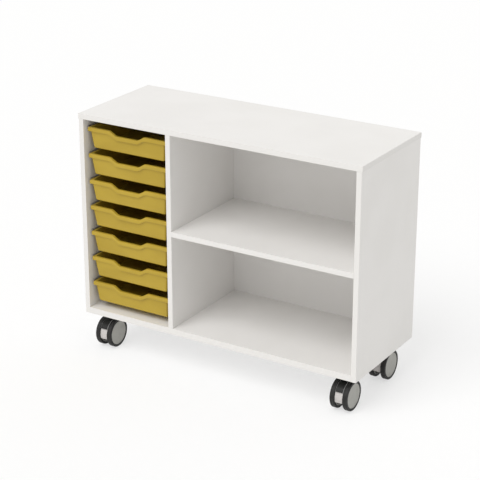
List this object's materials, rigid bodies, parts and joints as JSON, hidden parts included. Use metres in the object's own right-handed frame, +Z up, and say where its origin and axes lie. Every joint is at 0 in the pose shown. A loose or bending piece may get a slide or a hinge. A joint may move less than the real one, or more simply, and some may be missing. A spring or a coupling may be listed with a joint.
{
  "type": "classroom tray storage unit",
  "caption": "Low mobile cabinet of white laminated board on twin-wheel castors, with a bay of shallow pull-out trays beside an open shelved bay.",
  "frame": {"origin": "on the floor, under the middle of the cabinet", "axes": "+X to the right seen from the front, +Y to the back, +Z up; the open front faces -Y"},
  "size_m": [1.044, 0.4, 0.835],
  "materials": {
    "white_laminate": "white melamine-faced chipboard, fine satin grain",
    "white_edging": "white plastic edging, satin",
    "beech": "plain beech dowel",
    "mustard_plastic": "moulded plastic, satin",
    "grey_runner_plastic": "extruded plastic",
    "zinc_steel": "bright zinc plate",
    "light_grey_plastic": "moulded plastic",
    "black_plastic": "moulded plastic, low sheen",
    "wheel_grey_plastic": "moulded plastic, fine texture",
    "black_tyre": "soft rubber tread"
  },
  "bodies": {
    "cabinet": {"top_panel": "white_laminate", "base_panel": "white_laminate", "left_side_panel": "white_laminate", "right_side_panel": "white_laminate", "divider_panel": "white_laminate", "shelf_panel": "white_laminate", "back_panel": "white_laminate", "top_edging_strips": "white_edging", "carcass_edging_strips": "white_edging", "top_dowels": "beech", "base_dowels": "beech", "shelf_dowels": "beech", "tray_1_runners": "grey_runner_plastic", "tray_2_runners": "grey_runner_plastic", "tray_3_runners": "grey_runner_plastic", "tray_4_runners": "grey_runner_plastic", "tray_5_runners": "grey_runner_plastic", "tray_6_runners": "grey_runner_plastic", "tray_7_runners": "grey_runner_plastic", "runner_screws": "zinc_steel", "castor_screws": "zinc_steel", "front_left_castor_plate": "zinc_steel", "front_right_castor_plate": "zinc_steel", "rear_left_castor_plate": "zinc_steel", "rear_right_castor_plate": "zinc_steel"},
    "tray_1": {"tray_1": "mustard_plastic"},
    "tray_2": {"tray_2": "mustard_plastic"},
    "tray_3": {"tray_3": "mustard_plastic"},
    "tray_4": {"tray_4": "mustard_plastic"},
    "tray_5": {"tray_5": "mustard_plastic"},
    "tray_6": {"tray_6": "mustard_plastic"},
    "tray_7": {"tray_7": "mustard_plastic"},
    "front_left_swivel": {"front_left_castor_core": "light_grey_plastic", "front_left_castor_hood": "black_plastic", "front_left_castor_axle": "zinc_steel"},
    "front_left_left_wheel": {"front_left_castor_left_rim": "wheel_grey_plastic", "front_left_castor_left_tyre": "black_tyre"},
    "front_left_right_wheel": {"front_left_castor_right_rim": "wheel_grey_plastic", "front_left_castor_right_tyre": "black_tyre"},
    "front_right_swivel": {"front_right_castor_core": "light_grey_plastic", "front_right_castor_hood": "black_plastic", "front_right_castor_axle": "zinc_steel"},
    "front_right_left_wheel": {"front_right_castor_left_rim": "wheel_grey_plastic", "front_right_castor_left_tyre": "black_tyre"},
    "front_right_right_wheel": {"front_right_castor_right_rim": "wheel_grey_plastic", "front_right_castor_right_tyre": "black_tyre"},
    "rear_left_swivel": {"rear_left_castor_core": "light_grey_plastic", "rear_left_castor_hood": "black_plastic", "rear_left_castor_axle": "zinc_steel"},
    "rear_left_left_wheel": {"rear_left_castor_left_rim": "wheel_grey_plastic", "rear_left_castor_left_tyre": "black_tyre"},
    "rear_left_right_wheel": {"rear_left_castor_right_rim": "wheel_grey_plastic", "rear_left_castor_right_tyre": "black_tyre"},
    "rear_right_swivel": {"rear_right_castor_core": "light_grey_plastic", "rear_right_castor_hood": "black_plastic", "rear_right_castor_axle": "zinc_steel"},
    "rear_right_left_wheel": {"rear_right_castor_left_rim": "wheel_grey_plastic", "rear_right_castor_left_tyre": "black_tyre"},
    "rear_right_right_wheel": {"rear_right_castor_right_rim": "wheel_grey_plastic", "rear_right_castor_right_tyre": "black_tyre"}
  },
  "joints": [
    {"name": "tray_1_slide", "type": "slide", "parent": "cabinet", "child": "tray_1", "axis": [0, -1, 0], "range_m": [0, 0.24]},
    {"name": "tray_2_slide", "type": "slide", "parent": "cabinet", "child": "tray_2", "axis": [0, -1, 0], "range_m": [0, 0.24]},
    {"name": "tray_3_slide", "type": "slide", "parent": "cabinet", "child": "tray_3", "axis": [0, -1, 0], "range_m": [0, 0.24]},
    {"name": "tray_4_slide", "type": "slide", "parent": "cabinet", "child": "tray_4", "axis": [0, -1, 0], "range_m": [0, 0.24]},
    {"name": "tray_5_slide", "type": "slide", "parent": "cabinet", "child": "tray_5", "axis": [0, -1, 0], "range_m": [0, 0.24]},
    {"name": "tray_6_slide", "type": "slide", "parent": "cabinet", "child": "tray_6", "axis": [0, -1, 0], "range_m": [0, 0.24]},
    {"name": "tray_7_slide", "type": "slide", "parent": "cabinet", "child": "tray_7", "axis": [0, -1, 0], "range_m": [0, 0.24]},
    {"name": "front_left_swivel_turn", "type": "hinge", "parent": "cabinet", "child": "front_left_swivel", "pos_m": [-0.456, -0.132, 0.11], "axis": [0, 0, 1], "continuous": true},
    {"name": "front_left_left_wheel_spin", "type": "hinge", "parent": "front_left_swivel", "child": "front_left_left_wheel", "pos_m": [-0.4785, -0.144, 0.05], "axis": [1, 0, 0], "continuous": true},
    {"name": "front_left_right_wheel_spin", "type": "hinge", "parent": "front_left_swivel", "child": "front_left_right_wheel", "pos_m": [-0.4335, -0.144, 0.05], "axis": [1, 0, 0], "continuous": true},
    {"name": "front_right_swivel_turn", "type": "hinge", "parent": "cabinet", "child": "front_right_swivel", "pos_m": [0.456, -0.132, 0.11], "axis": [0, 0, 1], "continuous": true},
    {"name": "front_right_left_wheel_spin", "type": "hinge", "parent": "front_right_swivel", "child": "front_right_left_wheel", "pos_m": [0.4335, -0.144, 0.05], "axis": [1, 0, 0], "continuous": true},
    {"name": "front_right_right_wheel_spin", "type": "hinge", "parent": "front_right_swivel", "child": "front_right_right_wheel", "pos_m": [0.4785, -0.144, 0.05], "axis": [1, 0, 0], "continuous": true},
    {"name": "rear_left_swivel_turn", "type": "hinge", "parent": "cabinet", "child": "rear_left_swivel", "pos_m": [-0.456, 0.132, 0.11], "axis": [0, 0, 1], "continuous": true},
    {"name": "rear_left_left_wheel_spin", "type": "hinge", "parent": "rear_left_swivel", "child": "rear_left_left_wheel", "pos_m": [-0.4785, 0.12, 0.05], "axis": [1, 0, 0], "continuous": true},
    {"name": "rear_left_right_wheel_spin", "type": "hinge", "parent": "rear_left_swivel", "child": "rear_left_right_wheel", "pos_m": [-0.4335, 0.12, 0.05], "axis": [1, 0, 0], "continuous": true},
    {"name": "rear_right_swivel_turn", "type": "hinge", "parent": "cabinet", "child": "rear_right_swivel", "pos_m": [0.456, 0.132, 0.11], "axis": [0, 0, 1], "continuous": true},
    {"name": "rear_right_left_wheel_spin", "type": "hinge", "parent": "rear_right_swivel", "child": "rear_right_left_wheel", "pos_m": [0.4335, 0.12, 0.05], "axis": [1, 0, 0], "continuous": true},
    {"name": "rear_right_right_wheel_spin", "type": "hinge", "parent": "rear_right_swivel", "child": "rear_right_right_wheel", "pos_m": [0.4785, 0.12, 0.05], "axis": [1, 0, 0], "continuous": true}
  ]
}
